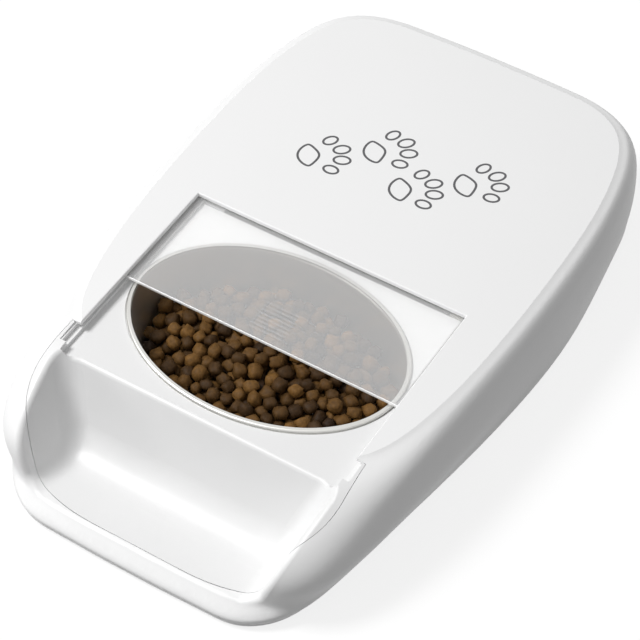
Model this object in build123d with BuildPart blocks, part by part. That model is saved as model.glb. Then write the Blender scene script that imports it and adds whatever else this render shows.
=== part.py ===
from build123d import *
from math import acos, cos, hypot, pi, radians, sin, sqrt, tan
import os

os.makedirs("parts", exist_ok=True)

# Pet feeder with a motor-driven sliding lid.  Millimetres, +Z up, the front
# lip towards -Y, origin under the middle of the body at the table surface.

# ---------------------------------------------------------------- body form
body_rear = 188.5            # rearmost point of the casing
body_front = -188.5          # front of the lip
body_top = 62.0              # flat top of the casing
underside = 2.0              # casing and pan bottom, above the table
wall = 2.4                   # moulded wall of casing, tray and pan
part_gap = 0.3               # gap between neighbouring mouldings
boolean_over = 1.0           # how far a cutter runs past a face

# Plan outline at its fullest level, half widths and places along Y
waist_half = 119.4           # half width at its widest
waist_y = 63.0
flank_half = 113.4
flank_y = 130.0
hip_half = 118.4
hip_y = 0.0
shoulder_half = 112.7
shoulder_y = -89.0
brow_half = 106.8
brow_y = -135.6
corner_half = 89.6
corner_y = -173.9
nose_half = 62.6
nose_drop = 2.6              # how far the ends of the nose lie behind its middle
nose_mid_half = 44.5
nose_mid_drop = 0.7
rear_mid_half = 46.0
rear_mid_drop = 0.8
rear_flat_half = 65.4
rear_bow = 2.4
rear_corner_half = 93.8
rear_corner_drop = 14.7

# Level by level: height, side tuck, top rounding, then how far the nose, the
# front corners and the brows are pulled back
body_levels = [
    (underside, 15.6, 0.0, -0.7, -2.0, -5.7),
    (6.0, 13.2, 0.0, -1.5, -2.4, -5.4),
    (10.0, 11.0, 0.0, 2.2, -0.9, -4.6),
    (13.2, 9.4, 0.0, 6.4, 1.8, -3.0),
    (17.0, 7.3, 0.0, 7.4, 3.2, -1.4),
    (23.0, 4.2, 0.0, 7.4, 3.8, 0.2),
    (32.0, 1.4, 0.0, 8.4, 5.4, 2.6),
    (42.0, 1.0, 0.2, 13.0, 12.4, 9.0),
    (50.0, 0.8, 1.1, 23.2, 24.3, 19.1),
    (56.0, 0.2, 3.3, 37.5, 38.2, 30.1),
    (60.0, 0.2, 6.6, 53.1, 54.2, 43.7),
    (body_top, 0.2, 11.5, 70.7, 69.9, 56.5),
]
crown_start = 40.0           # above this the inner form drops below the outer one


def body_section(height, tuck, rounding, nose_pull, corner_pull, brow_pull, inset):
    """Closed plan outline of the body at one height, drawn in by an inset."""
    crown = max(0.0, (height - crown_start) / (body_top - crown_start))
    level = height - inset * crown
    if inset and height == underside:
        level = underside - boolean_over
    pull = rounding + inset
    rear = body_rear - pull
    nose = body_front + nose_pull + inset
    half = [
        (0, rear),
        (rear_mid_half / 2, rear - rear_mid_drop / 4),
        (rear_mid_half, rear - rear_mid_drop),
        (rear_flat_half, rear - rear_bow),
        (rear_corner_half - 0.75 * pull, body_rear - rear_corner_drop - 0.75 * pull),
        (flank_half - 0.3 * tuck - pull, flank_y),
        (waist_half - 0.2 * tuck - pull, waist_y),
        (hip_half - 0.3 * tuck - pull, hip_y),
        (shoulder_half - 0.8 * tuck - pull, shoulder_y + 0.55 * brow_pull),
        (brow_half - tuck - 0.9 * rounding - inset, brow_y + brow_pull),
        (corner_half - 0.75 * tuck - 0.5 * rounding - 0.7 * inset, corner_y + corner_pull + 0.7 * inset),
        (nose_half - 0.1 * inset, nose + nose_drop),
        (nose_mid_half, nose + nose_mid_drop),
        (nose_mid_half / 2, nose + nose_mid_drop / 4),
        (0, nose),
    ]
    with BuildSketch(Plane.XY.offset(level)) as section:
        with BuildLine():
            left_half = [(-x, y) for x, y in half[-2:0:-1]]
            Spline(*half, *left_half, periodic=True)
        make_face()
    return section.sketch


def body_form(inset):
    """The whole outer form as one solid, or the hollow inside a wall of that inset."""
    with BuildPart() as form:
        for level in body_levels:
            add(body_section(*level, inset))
        loft()
    return form.part


# ------------------------------------------------------- recess, seam, scoop
slot_y = 2.4                 # front edge of the casing roof, over the lid
recess_half = 83.0           # half width of the recess between the lid guides
guide_half = 86.8            # outer face of the lid guides
deck_z = 54.6                # deck around the bowl
deck_front = -122.3          # edge where the deck falls into the scoop
lip_under = body_top - wall  # underside of the casing lip over the lid
lip_end = -106.0             # front end of the overhanging casing lip
tub_half = 89.5              # half width of the tray wall beside the recess
tub_gap = 0.2                # air between the tray wall and the lip over it
tub_top = lip_under - tub_gap
deck_rear = slot_y + 0.8     # the deck stops just behind the slot edge
deck_under = deck_z - wall
tray_foot = 4.6              # tray walls stand just clear of the pan

# Plan line of the seam between casing and tray, from the lip end to the nose
seam_points = [(88.4, -110.0), (89.2, -124.0), (89.2, -136.0), (85.6, -150.0),
               (79.0, -161.0), (69.5, -169.8), (56.0, -175.6), (0.0, -179.6)]
seam_turn = 60.0             # inside this half width the seam runs across the nose

scoop_floor = 9.4            # lowest level of the scoop floor
scoop_floor_rise = 0.10      # the floor climbs gently towards the lip
scoop_half = 66.0            # half width at floor level
scoop_flare = 0.36           # side walls lean outwards by this slope
riser_foot = -142.0          # where the riser plane would meet the floor
riser_round = 22.0           # hollow between riser and floor
scoop_corner = 12.0          # hollow along the side walls
rim_round = 3.0              # softened rim all round the scoop
edge_round = 0.8             # softened edges of the roof opening


def seam_face(clearance, rear, level):
    """Plan area inside the seam between casing and tray, up to a given rear edge."""
    points = [(x + clearance if x else 0.0, y - (clearance if x < seam_turn else 0.0)) for x, y in seam_points]
    with BuildSketch(Plane.XY.offset(level)) as area:
        with BuildLine():
            edge = Spline(*points, tangents=[(0.1, -1), (-1, 0)])
            Line(edge @ 0, (points[0][0], rear))
            Line((points[0][0], rear), (0, rear))
            mirror(about=Plane.YZ)
        make_face()
    return area.sketch


def scoop_form(grow):
    """The scoop as a cutter: riser, floor and leaning side walls, grown by a wall."""
    front = 1.1 * body_front
    slope = (deck_front - riser_foot) / (deck_z - scoop_floor)
    high = body_top + 4 * wall
    foot = (riser_foot + grow * (sqrt(1 + slope**2) - slope), scoop_floor - grow)
    head = (foot[0] + slope * (high - foot[1]), high)
    toe = (front, foot[1] + scoop_floor_rise * (foot[0] - front))
    with BuildPart() as form:
        with BuildSketch(Plane.YZ.offset(-2 * scoop_half)):
            with BuildLine():
                FilletPolyline(head, foot, toe, radius=riser_round - grow)
                Polyline(toe, (front, high), head)
            make_face()
        extrude(amount=4 * scoop_half)
        with BuildSketch(Plane.XZ):
            with BuildLine():
                low = scoop_floor - grow - boolean_over
                low_half = scoop_half + grow * sqrt(1 + scoop_flare**2) - scoop_flare * (scoop_floor - low)
                high_half = low_half + scoop_flare * (high - low)
                Polyline((-low_half, low), (low_half, low), (high_half, high), (-high_half, high), close=True)
            make_face()
        extrude(amount=-2 * front, mode=Mode.INTERSECT)
        rims = form.edges().filter_by(
            lambda e: abs(e.center().X) > scoop_half / 2 and front + 1 < e.center().Y and e.center().Z < high - 1
        )
        fillet(rims, scoop_corner)
    return form.part


# ------------------------------------------------------------------ helpers
def block(x_span, y_span, z_span, mode=Mode.ADD):
    """A block between two corners."""
    spans = (x_span, y_span, z_span)
    with Locations(tuple((low + high) / 2 for low, high in spans)):
        Box(*[high - low for low, high in spans], mode=mode)


def upright(places, radius, z_span, mode=Mode.ADD):
    """Round posts or holes along Z at plan places."""
    with Locations(*[(x, y, sum(z_span) / 2) for x, y in places]):
        Cylinder(radius, z_span[1] - z_span[0], mode=mode)


def endwise(places, radius, y_span, mode=Mode.ADD):
    """Round posts or holes along Y at places given as x and z."""
    with Locations(*[(x, sum(y_span) / 2, z) for x, z in places]):
        Cylinder(radius, y_span[1] - y_span[0], rotation=(90, 0, 0), mode=mode)


def crosswise(places, radius, x_span, mode=Mode.ADD):
    """Round posts or holes along X at places given as y and z."""
    with Locations(*[(sum(x_span) / 2, y, z) for y, z in places]):
        Cylinder(radius, x_span[1] - x_span[0], rotation=(0, 90, 0), mode=mode)


# ------------------------------------------------------------------- screws
screw_core = 1.35            # radius of a self-tapping shank
screw_hole = 1.4             # moulded hole it cuts into
screw_pass = 1.7             # clearance hole in the piece held
screw_head = 2.8
screw_head_tall = 2.0
case_screw_long = 14.0
small_screw_long = 6.0
boss_radius = 4.0
post_radius = 3.0
cup_radius = 4.5             # pan cup around a case screw
cup_top = 7.0
cup_seat = 5.0               # screw heads bear here, from below
cup_bore = 3.1
boss_foot = cup_top + 0.1

case_screw_places = [(side * x, y) for x, y in ((84, 160), (99, 70), (100, -10), (94.6, -68)) for side in (-1, 1)]
tray_screw_places = [(side * x, y) for x, y in ((76, -18), (78, -108)) for side in (-1, 1)]


def screws_up(places, head_base, length):
    """Screws driven upwards, heads below."""
    upright(places, screw_head, (head_base, head_base + screw_head_tall))
    upright(places, screw_core, (head_base + screw_head_tall, head_base + screw_head_tall + length))


# ---------------------------------------------------- rear buttons and lens
button_x = (-58.0, -36.0)
button_z = 33.0
button_radius = 4.5
button_gap = 0.3
button_travel = 1.2
button_flange = 6.0
button_flange_thick = 1.4
lens_x = -47.0
lens_z = 42.0
lens_radius = 2.0
lens_gap = 0.05
pad_thick = 5.5              # flat pad inside the rear wall, from its rearmost point
pad_half = 20.0
rear_inside = body_rear - pad_thick
panel_half = 25.0            # little board behind the buttons
panel_low = 21.0
panel_high = 47.0
panel_thick = 1.6
tact_half = 3.0
tact_thick = 3.4
tact_stem = 1.75
tact_stem_long = 1.0
tact_slack = 0.1
button_seat = rear_inside - 0.2           # rear face of a button flange at rest
button_foot = button_seat - button_flange_thick
tact_face = button_foot - tact_slack - tact_stem_long
panel_rear = tact_face - tact_thick
panel_front = panel_rear - panel_thick
panel_posts = [(lens_x - 21.0, button_z), (lens_x + 21.0, button_z)]
button_places = [(x, button_z) for x in button_x]

outer_form = body_form(0)
inner_form = body_form(wall)
inside_form = body_form(wall + part_gap)
scoop_cut = scoop_form(0)

# Outer form with the scoop let in and its rim softened, shared by casing and tray
with BuildPart() as cut_form:
    add(outer_form)
    add(scoop_cut, mode=Mode.SUBTRACT)
    fillet(new_edges(outer_form, scoop_cut, combined=cut_form.part), rim_round)

# Hollow of casing and tray, which leaves a wall under the scoop too
with BuildPart() as hollow_form:
    add(inner_form)
    add(scoop_form(wall), mode=Mode.SUBTRACT)

# ------------------------------------------------------------- outer casing
with BuildPart() as outer_casing:
    add(cut_form.part)
    add(hollow_form.part, mode=Mode.SUBTRACT)
    upright(case_screw_places, boss_radius, (boss_foot, body_top))
    block((lens_x - pad_half, lens_x + pad_half), (rear_inside, body_rear + wall), (panel_low, panel_high))
    endwise(panel_posts, post_radius, (panel_rear, body_rear))
    add(cut_form.part, mode=Mode.INTERSECT)
    extrude(seam_face(part_gap / 2, lip_end, 0), amount=2 * body_top, mode=Mode.SUBTRACT)
    channel_half = guide_half + part_gap
    block((-channel_half, channel_half), (lip_end - boolean_over, deck_rear), (deck_z, lip_under), mode=Mode.SUBTRACT)
    block((-recess_half, recess_half), (lip_end - boolean_over, slot_y), (deck_z, 2 * body_top), mode=Mode.SUBTRACT)
    roof_edges = outer_casing.edges().filter_by(GeomType.LINE).group_by(Axis.Z)[-1]
    fillet(roof_edges, edge_round)
    upright(case_screw_places, screw_hole, (0, cup_seat + case_screw_long + boolean_over), mode=Mode.SUBTRACT)
    endwise(button_places, button_radius + button_gap, (panel_rear, body_rear + wall), mode=Mode.SUBTRACT)
    endwise([(lens_x, lens_z)], lens_radius + lens_gap, (panel_rear, body_rear + wall), mode=Mode.SUBTRACT)
    endwise(panel_posts, screw_hole, (0, panel_rear + small_screw_long), mode=Mode.SUBTRACT)
outer_casing.part.label = "outer_casing"


# --------------------------------------------------------------- inner tray
bowl_y = -57.9
bowl_half_x = 79.7           # rolled rim, outside
bowl_half_y = 56.8
rim_width = 2.4
rim_top = 56.3
rim_recess = 0.7             # the rim sits this deep in the deck
rim_gap = 0.6
bowl_wall = 0.9
bowl_drop_gap = 0.5          # air between bowl wall and the hole in the deck
bowl_wall_x = bowl_half_x - (rim_width - bowl_wall)
bowl_wall_y = bowl_half_y - (rim_width - bowl_wall)
rim_base = deck_z - rim_recess

guide_wall = 1.0
guide_flange_top = 56.8
guide_base = 55.8
guide_front = -119.5         # front end of the lid guides
guide_rear = 138.0
arm_in = recess_half + 0.6   # arms behind the deck carry the guides back
arm_rear = 142.0
bar_deep = 4.0
shelf_in = 68.0              # sensor shelves reach in to here
shelf_half = 5.0
sensor_y = (9.0, 130.0)
deck_edge_round = 3.0

with BuildPart() as tub:
    block((-tub_half, tub_half), (lip_end - boss_radius, deck_rear), (tray_foot, tub_top))
    add(inside_form, mode=Mode.INTERSECT)

with BuildPart() as tray_hollow:
    hollow_foot = tray_foot - boolean_over
    extrude(seam_face(-part_gap / 2 - wall, lip_end, hollow_foot), amount=deck_under - hollow_foot)
    tub_inside = tub_half - wall
    block((-tub_inside, tub_inside), (lip_end - boolean_over, deck_rear + boolean_over), (hollow_foot, deck_under))
    add(hollow_form.part, mode=Mode.INTERSECT)

with BuildPart() as inner_tray:
    extrude(seam_face(-part_gap / 2, lip_end - part_gap, tray_foot), amount=body_top)
    add(cut_form.part, mode=Mode.INTERSECT)
    add(tub.part)
    add(tray_hollow.part, mode=Mode.SUBTRACT)
    for side in (-1, 1):
        arm_span = sorted((side * arm_in, side * tub_half))
        rail_span = sorted((side * guide_half, side * tub_half))
        block(arm_span, (deck_rear - wall, arm_rear), (deck_under, guide_base))
        block(rail_span, (deck_rear - wall, arm_rear), (guide_base, tub_top))
    block((-tub_half, tub_half), (arm_rear - bar_deep, arm_rear), (deck_under, guide_base))
    for y in sensor_y:
        block((-tub_half, -shelf_in), (y - shelf_half, y + shelf_half), (deck_under, deck_z - 0.4))
    upright(tray_screw_places, boss_radius, (boss_foot, deck_under))
    block((-recess_half, recess_half), (deck_front - wall, deck_rear + boolean_over), (deck_z, 2 * body_top),
          mode=Mode.SUBTRACT)
    deck_edge = inner_tray.edges().filter_by(
        lambda e: e.bounding_box().max.Y < deck_front + 0.1 and abs(e.bounding_box().min.Z - deck_z) < 0.1
        and abs(e.bounding_box().max.Z - deck_z) < 0.1 and e.bounding_box().size.X > 1
    )
    fillet(deck_edge, deck_edge_round)
    block((-guide_half, guide_half), (guide_front, deck_rear), (guide_base, 2 * body_top), mode=Mode.SUBTRACT)
    with BuildSketch(Plane.XY.offset(deck_under - boolean_over)):
        with Locations((0, bowl_y)):
            Ellipse(bowl_wall_x + bowl_drop_gap, bowl_wall_y + bowl_drop_gap)
    extrude(amount=2 * wall, mode=Mode.SUBTRACT)
    with BuildSketch(Plane.XY.offset(rim_base)):
        with Locations((0, bowl_y)):
            Ellipse(bowl_half_x + rim_gap, bowl_half_y + rim_gap)
    extrude(amount=2 * wall, mode=Mode.SUBTRACT)
    upright(tray_screw_places, screw_hole, (0, cup_seat + case_screw_long + boolean_over), mode=Mode.SUBTRACT)
inner_tray.part.label = "inner_tray"

# --------------------------------------------------------------- lid guides
guide_foot_in = recess_half


def lid_guide(side):
    """Smooth L-shaped running strip for one edge of the lid."""
    with BuildPart() as guide:
        block(sorted((side * guide_foot_in, side * guide_half)), (guide_front, guide_rear),
              (guide_base, guide_flange_top))
        block(sorted((side * (guide_half - guide_wall), side * guide_half)), (guide_front, guide_rear),
              (guide_flange_top, tub_top))
    return guide.part


with BuildPart() as lid_guide_left:
    add(lid_guide(-1))
lid_guide_left.part.label = "lid_guide_left"

with BuildPart() as lid_guide_right:
    add(lid_guide(1))
lid_guide_right.part.label = "lid_guide_right"

# ---------------------------------------------------------------------- lid
lid_run_gap = 0.1            # lid above the guide flange
lid_side_gap = 0.3
lid_thick = 2.0
lid_half = guide_half - guide_wall - lid_side_gap
lid_base = guide_flange_top + lid_run_gap
lid_top = lid_base + lid_thick
lid_front = -65.4            # half closed
lid_rear = 70.0
lid_edge_round = 0.6
grip_half = 10.0             # ridges to push the lid by
grip_count = 8
grip_pitch = 2.6
grip_back = 5.0              # first ridge behind the lid's edge
grip_wide = 1.0
grip_tall = 0.4

with BuildPart() as sliding_lid:
    block((-lid_half, lid_half), (lid_front, lid_rear), (lid_base, lid_top))
    fillet(sliding_lid.edges().filter_by(Axis.X).group_by(Axis.Y)[0], lid_edge_round)
    with BuildSketch(Plane.XY.offset(lid_top - lid_thick / 4)):
        for index in range(grip_count):
            with Locations((0, lid_front + grip_back + index * grip_pitch)):
                SlotCenterToCenter(2 * grip_half, grip_wide)
    extrude(amount=lid_thick / 4 + grip_tall)
sliding_lid.part.label = "sliding_lid"

# ------------------------------------------------------------ rack and gears
gear_module = 0.6
pressure = radians(20.0)
addendum = 0.9
dedendum = 1.25
tooth_share = 0.46           # tooth thickness as a share of the pitch
tooth_pitch = pi * gear_module
rack_in = 80.6
rack_out = 82.8
rack_pitch_z = 55.54
rack_front = -62.0
rack_rear = 69.0
pinion_teeth = 20
wheel_teeth = 48
motor_teeth = 12
pinion_y = 10.0
pinion_z = rack_pitch_z - gear_module * pinion_teeth / 2
wheel_turn = radians(-41.44)               # direction from pinion to wheel
motor_turn = radians(-12.84)               # direction from wheel to motor pinion
wheel_reach = gear_module * (pinion_teeth + wheel_teeth) / 2
wheel_y = pinion_y + wheel_reach * cos(wheel_turn)
wheel_z = pinion_z + wheel_reach * sin(wheel_turn)
motor_reach = gear_module * (wheel_teeth + motor_teeth) / 2
motor_y = wheel_y + motor_reach * cos(motor_turn)
motor_z = wheel_z + motor_reach * sin(motor_turn)
pin_radius = 1.5
pin_gap = 0.05
plate_in = 69.4
plate_out = 71.6
pinion_in = 72.0
wheel_in = 72.5
wheel_out = 76.5
shaft_radius = 1.0


def gear_face(teeth, phase, centre, x):
    """Spur gear outline with involute flanks; one tooth points at the phase angle."""
    pitch_radius = gear_module * teeth / 2
    base_radius = pitch_radius * cos(pressure)
    root_radius = pitch_radius - dedendum * gear_module
    tip_radius = pitch_radius + addendum * gear_module
    half_tooth = tooth_share * tooth_pitch / 2 / pitch_radius + tan(pressure) - pressure
    start = max(base_radius, root_radius)

    def lean(radius):
        roll = acos(min(1.0, base_radius / radius))
        return half_tooth - (tan(roll) - roll)

    def place(radius, angle):
        return (centre[0] + radius * cos(angle), centre[1] + radius * sin(angle))

    flank = [start + (tip_radius - start) * share for share in (0, 0.5, 1)]
    outline = []
    for index in range(teeth):
        middle = phase + 2 * pi * index / teeth
        outline.append(place(root_radius, middle - lean(start)))
        outline.extend(place(radius, middle - lean(radius)) for radius in flank)
        outline.extend(place(radius, middle + lean(radius)) for radius in reversed(flank))
        outline.append(place(root_radius, middle + lean(start)))
    apart = [point for point, last in zip(outline, outline[-1:] + outline[:-1])
             if hypot(point[0] - last[0], point[1] - last[1]) > pin_gap / 10]
    with BuildSketch(Plane.YZ.offset(x)) as face:
        with BuildLine():
            Polyline(*apart, close=True)
        make_face()
    return face.sketch


def meshed_phase(driver_phase, driver_teeth, driven_teeth, turn):
    """Phase of a gear whose gap meets the driver's tooth along the line of centres."""
    step = ((driver_phase - turn) % (2 * pi / driver_teeth)) * driver_teeth / driven_teeth
    return turn + pi - step - pi / driven_teeth


pinion_phase = pi / 2
wheel_phase = meshed_phase(pinion_phase, pinion_teeth, wheel_teeth, wheel_turn)
motor_phase = meshed_phase(wheel_phase, wheel_teeth, motor_teeth, motor_turn)

with BuildPart() as lid_rack:
    root_z = rack_pitch_z + dedendum * gear_module
    tip_z = rack_pitch_z - addendum * gear_module
    root_half = tooth_share * tooth_pitch / 2 + dedendum * gear_module * tan(pressure)
    tip_half = tooth_share * tooth_pitch / 2 - addendum * gear_module * tan(pressure)
    with BuildSketch(Plane.YZ.offset(rack_in)):
        with BuildLine():
            first = int((rack_front - pinion_y) / tooth_pitch)
            last = int((rack_rear - pinion_y) / tooth_pitch)
            teeth_line = [(rack_front, lid_base), (rack_front, root_z)]
            for index in range(first, last):
                middle = pinion_y + (index + 0.5) * tooth_pitch
                teeth_line += [(middle - root_half, root_z), (middle - tip_half, tip_z)]
                teeth_line += [(middle + tip_half, tip_z), (middle + root_half, root_z)]
            teeth_line += [(rack_rear, root_z), (rack_rear, lid_base)]
            Polyline(*teeth_line, close=True)
        make_face()
    extrude(amount=rack_out - rack_in)
lid_rack.part.label = "lid_rack"

runner_base = 55.3
with BuildPart() as lid_runner:
    block((-rack_out, -rack_in), (rack_front, rack_rear), (runner_base, lid_base))
lid_runner.part.label = "lid_runner"

magnet_y = 60.0
magnet_long = 6.0
magnet_in = 70.0
magnet_out = 78.0
magnet_base = 55.1
with BuildPart() as lid_magnet:
    block((-magnet_out, -magnet_in), (magnet_y, magnet_y + magnet_long), (magnet_base, lid_base))
lid_magnet.part.label = "lid_magnet"

sensor_half_x = 4.0
sensor_half_y = 3.0
sensor_thick = 2.6
sensor_x = -(magnet_in + magnet_out) / 2


def lid_sensor(y):
    """Small magnetic switch under its shelf, with three legs."""
    with BuildPart() as sensor:
        block((sensor_x - sensor_half_x, sensor_x + sensor_half_x), (y - sensor_half_y, y + sensor_half_y),
              (deck_under - sensor_thick, deck_under))
        upright([(sensor_x + step, y) for step in (-2.5, 0, 2.5)], 0.4,
                (deck_under - 2 * sensor_thick, deck_under - sensor_thick))
    return sensor.part


with BuildPart() as lid_sensor_front:
    add(lid_sensor(sensor_y[0]))
lid_sensor_front.part.label = "lid_sensor_front"

with BuildPart() as lid_sensor_rear:
    add(lid_sensor(sensor_y[1]))
lid_sensor_rear.part.label = "lid_sensor_rear"

with BuildPart() as rack_pinion:
    extrude(gear_face(pinion_teeth, pinion_phase, (pinion_y, pinion_z), pinion_in), amount=rack_out + 0.1 - pinion_in)
    crosswise([(pinion_y, pinion_z)], pin_radius + pin_gap, (plate_in, tub_half), mode=Mode.SUBTRACT)
rack_pinion.part.label = "rack_pinion"

hub_radius = 4.0
web_thick = 1.6
web_ring = 2.0
with BuildPart() as reduction_gear:
    extrude(gear_face(wheel_teeth, wheel_phase, (wheel_y, wheel_z), wheel_in), amount=wheel_out - wheel_in)
    with BuildSketch(Plane.YZ.offset(wheel_out)):
        with Locations((wheel_y, wheel_z)):
            Circle(gear_module * wheel_teeth / 2 - dedendum * gear_module - web_ring)
            Circle(hub_radius, mode=Mode.SUBTRACT)
    extrude(amount=-(wheel_out - wheel_in - web_thick), mode=Mode.SUBTRACT)
    crosswise([(wheel_y, wheel_z)], pin_radius + pin_gap, (plate_in, tub_half), mode=Mode.SUBTRACT)
reduction_gear.part.label = "reduction_gear"

with BuildPart() as motor_pinion:
    extrude(gear_face(motor_teeth, motor_phase, (motor_y, motor_z), wheel_in), amount=wheel_out - wheel_in)
    crosswise([(motor_y, motor_z)], shaft_radius, (plate_in, tub_half), mode=Mode.SUBTRACT)
motor_pinion.part.label = "motor_pinion"

# -------------------------------------------------------------- drive block
bracket_front = deck_rear + 0.4
bracket_rear = 58.0
bracket_top = 55.4
bracket_in = 52.0
pan_top = underside + wall
gearbox_radius = 11.0
gearbox_in = 47.0
can_radius = 10.0
can_long = 26.0
end_cap_long = 2.5
motor_boss = 3.0
motor_hole = 3.4
motor_screw_reach = 8.0
motor_screw_places = [(motor_y + dy, motor_z + dz) for dy, dz in ((motor_screw_reach, 0), (-motor_screw_reach, 0))]
bracket_screw_places = [(60.0, 9.0), (60.0, 51.0)]
clip_thick = 0.5
clip_radius = 3.0
clip_gap = 0.1

with BuildPart() as drive_bracket:
    with BuildSketch(Plane.YZ.offset(plate_in)):
        with BuildLine():
            Polyline((bracket_front, pan_top), (bracket_rear, pan_top), (bracket_rear, motor_z + gearbox_radius),
                     (pinion_y + 2 * pin_radius + 5, bracket_top), (bracket_front, bracket_top), close=True)
        make_face()
    extrude(amount=plate_out - plate_in)
    block((bracket_in, plate_out), (bracket_front, bracket_rear), (pan_top, pan_top + plate_out - plate_in))
    crosswise([(pinion_y, pinion_z), (wheel_y, wheel_z)], pin_radius, (bracket_in, tub_half), mode=Mode.SUBTRACT)
    crosswise([(motor_y, motor_z)], motor_hole, (bracket_in, tub_half), mode=Mode.SUBTRACT)
    crosswise(motor_screw_places, screw_pass, (bracket_in, tub_half), mode=Mode.SUBTRACT)
    upright(bracket_screw_places, screw_pass, (0, pan_top + 2 * wall), mode=Mode.SUBTRACT)
drive_bracket.part.label = "drive_bracket"

pin_places = [(pinion_y, pinion_z, rack_out + 0.1), (wheel_y, wheel_z, wheel_out)]
with BuildPart() as gear_pins:
    for y, z, end in pin_places:
        crosswise([(y, z)], pin_radius, (plate_in, end + clip_gap + clip_thick))
        crosswise([(y, z)], pin_radius + 1.0, (plate_in - 1.0, plate_in))
gear_pins.part.label = "gear_pins"

with BuildPart() as retaining_clips:
    for y, z, end in pin_places:
        crosswise([(y, z)], clip_radius - pin_radius / 2, (end + clip_gap, end + clip_gap + clip_thick))
        crosswise([(y, z)], pin_radius, (end, end + 2 * clip_thick), mode=Mode.SUBTRACT)
        block((end, end + 2 * clip_thick), (y - pin_radius / 2, y + pin_radius / 2), (z - clip_radius, z),
              mode=Mode.SUBTRACT)
retaining_clips.part.label = "retaining_clips"

with BuildPart() as gearbox_case:
    crosswise([(motor_y, motor_z)], gearbox_radius, (gearbox_in, plate_in))
    crosswise([(motor_y, motor_z)], motor_hole - part_gap, (plate_in, plate_out))
    crosswise([(motor_y, motor_z)], shaft_radius, (plate_in - motor_boss, tub_half), mode=Mode.SUBTRACT)
    crosswise(motor_screw_places, screw_hole, (plate_in - small_screw_long, plate_out), mode=Mode.SUBTRACT)
gearbox_case.part.label = "gearbox_case"

with BuildPart() as motor_shaft:
    crosswise([(motor_y, motor_z)], shaft_radius, (plate_in - motor_boss, wheel_out + clip_gap))
motor_shaft.part.label = "motor_shaft"

with BuildPart() as motor_can:
    crosswise([(motor_y, motor_z)], can_radius, (gearbox_in - can_long, gearbox_in))
motor_can.part.label = "motor_can"

with BuildPart() as motor_end_cap:
    crosswise([(motor_y, motor_z)], can_radius - 1.0, (gearbox_in - can_long - end_cap_long, gearbox_in - can_long))
    for side in (-1, 1):
        block((gearbox_in - can_long - 2 * end_cap_long, gearbox_in - can_long - end_cap_long),
              (motor_y + 5 * side - 1, motor_y + 5 * side + 1), (motor_z - 0.4, motor_z + 0.4))
motor_end_cap.part.label = "motor_end_cap"

with BuildPart() as motor_screws:
    crosswise(motor_screw_places, screw_head, (plate_out, plate_out + clip_thick))
    crosswise(motor_screw_places, screw_core, (plate_out - small_screw_long, plate_out))
motor_screws.part.label = "motor_screws"

with BuildPart() as bracket_screws:
    foot_top = pan_top + plate_out - plate_in
    upright(bracket_screw_places, screw_head, (foot_top, foot_top + screw_head_tall))
    upright(bracket_screw_places, screw_core, (foot_top - small_screw_long + wall / 2, foot_top))
bracket_screws.part.label = "bracket_screws"

# --------------------------------------------------------------------- bowl
bowl_base = 17.0
# height above the base, and the wall's share of the way in from mouth to base
bowl_levels = [(0.0, 15.0), (1.4, 10.5), (4.5, 7.0), (9.0, 4.9), (15.0, 3.5), (22.0, 2.4), (30.0, 1.3)]


def bowl_form(inset, lift):
    """Lofted oval vessel, drawn in by a wall and lifted by a floor."""
    with BuildPart() as form:
        for rise, pull in bowl_levels:
            with BuildSketch(Plane.XY.offset(bowl_base + lift + rise)):
                with Locations((0, bowl_y)):
                    Ellipse(bowl_wall_x - pull - inset, bowl_wall_y - pull - inset)
        with BuildSketch(Plane.XY.offset(rim_top - lift)):
            with Locations((0, bowl_y)):
                Ellipse(bowl_wall_x - inset, bowl_wall_y - inset)
        loft()
    return form.part


with BuildPart() as food_bowl:
    add(bowl_form(0, 0))
    with BuildSketch(Plane.XY.offset(rim_base)):
        with Locations((0, bowl_y)):
            Ellipse(bowl_half_x, bowl_half_y)
    extrude(amount=rim_top - rim_base)
    fillet(food_bowl.edges().group_by(Axis.Z)[-1], bowl_wall)
    add(bowl_form(bowl_wall, bowl_wall), mode=Mode.SUBTRACT)
    with BuildSketch(Plane.XY.offset(rim_top - 2 * bowl_wall)):
        with Locations((0, bowl_y)):
            Ellipse(bowl_wall_x - bowl_wall, bowl_wall_y - bowl_wall)
    extrude(amount=body_top, mode=Mode.SUBTRACT)
food_bowl.part.label = "food_bowl"

# ----------------------------------------------------- pan and battery bay
bay_half = 28.6
bay_front = 62.0
bay_rear = 169.0
bay_wall = 3.0
bay_roof = 30.6
door_ledge = 1.6
door_thick = 2.2
door_gap = 0.3
foot_radius = 8.0
foot_tall = 2.8
foot_sink = 0.8
foot_places = [(side * x, y) for x, y in ((82, 148), (72, -128)) for side in (-1, 1)]
board_left = -92.0
board_right = -40.0
board_front = 66.0
board_rear = 132.0
board_z = 14.0
board_thick = 1.6
board_inset = 4.5
board_post_places = [(x, y) for x in (board_left + board_inset, board_right - board_inset)
                     for y in (board_front + board_inset, board_rear - board_inset)]
all_cups = case_screw_places + tray_screw_places
door_corner = 1.0
finger_slot_long = 20.0      # recess for a fingertip near the door's rear edge
finger_slot_wide = 6.0
finger_slot_in = 6.0
foot_fit = 0.1               # rubber foot smaller than its recess
foot_round = 0.8

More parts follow.
